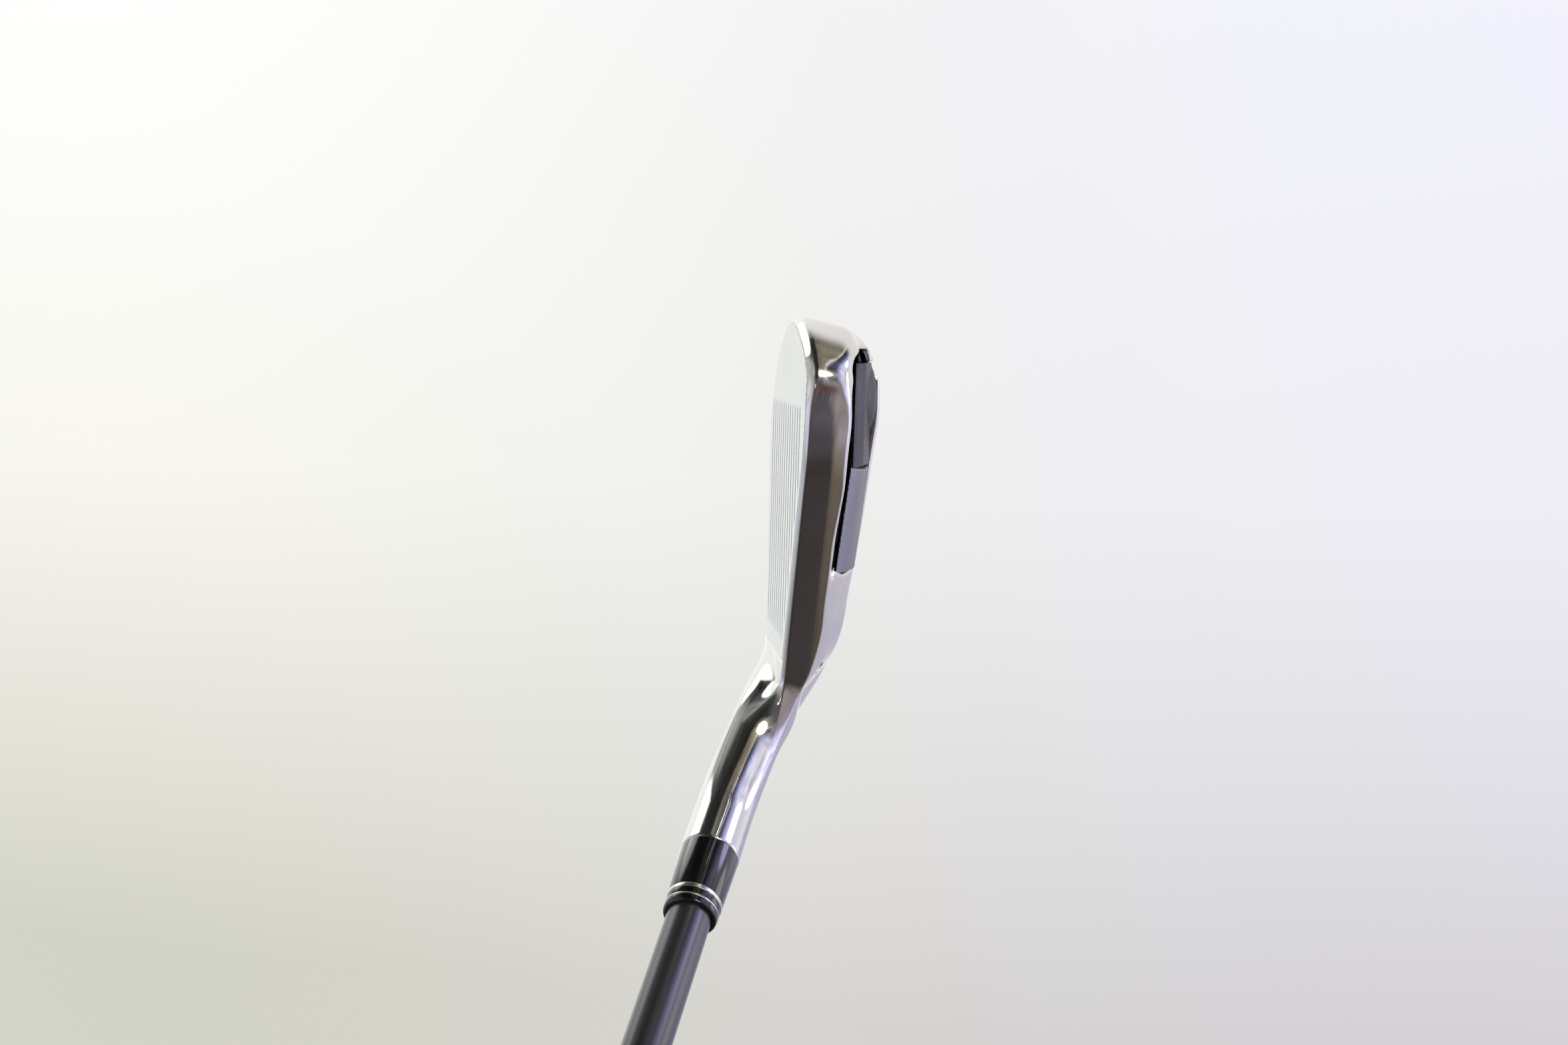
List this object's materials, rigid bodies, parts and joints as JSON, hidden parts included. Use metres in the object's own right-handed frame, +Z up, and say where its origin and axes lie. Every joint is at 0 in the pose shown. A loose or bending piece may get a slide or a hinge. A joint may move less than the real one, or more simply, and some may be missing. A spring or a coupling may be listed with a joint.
{
  "type": "iron golf club",
  "caption": "Long iron with a grooved satin face, chrome cavity-back head with satin back panels, slim ferrule, graphite shaft and rubber grip.",
  "frame": {"origin": "middle of the small flat on the sole that rests on the ground at address", "axes": "+Z up from the ground, -Y toward the target (the way the face looks), +X toward the heel and the player, -X toward the toe; the shaft leans toward +X at its lie angle of 62.2 degrees"},
  "size_m": [0.5567, 0.0406, 0.8757],
  "materials": {
    "chrome_casting": "polished chrome plate",
    "satin_face": "satin blasted with score lines",
    "toe_panel": "satin blasted, dark",
    "centre_panel": "satin blasted",
    "elastomer_black": "matt black",
    "badge_pad_foam": "matt black",
    "badge_metal": "fine brushed",
    "brass_pin": "turned brass",
    "graphite_shaft": "satin clear coat over dark graphite",
    "ferrule_black": "gloss black",
    "ring_silver": "bright silver trim",
    "tape_cream": "paper tape",
    "grip_rubber": "moulded pattern"
  },
  "bodies": {
    "root": {"head_body": "chrome_casting", "face_plate": "satin_face", "toe_back_panel": "toe_panel", "centre_back_panel": "centre_panel", "damper_strip": "elastomer_black", "badge_pad": "badge_pad_foam", "badge_plate": "badge_metal", "tip_weight": "brass_pin", "shaft": "graphite_shaft", "ferrule": "ferrule_black", "ferrule_ring_wide": "ring_silver", "ferrule_ring_fine": "ring_silver", "grip_tape": "tape_cream", "grip_sleeve": "grip_rubber", "grip_cap": "grip_rubber"}
  },
  "joints": []
}
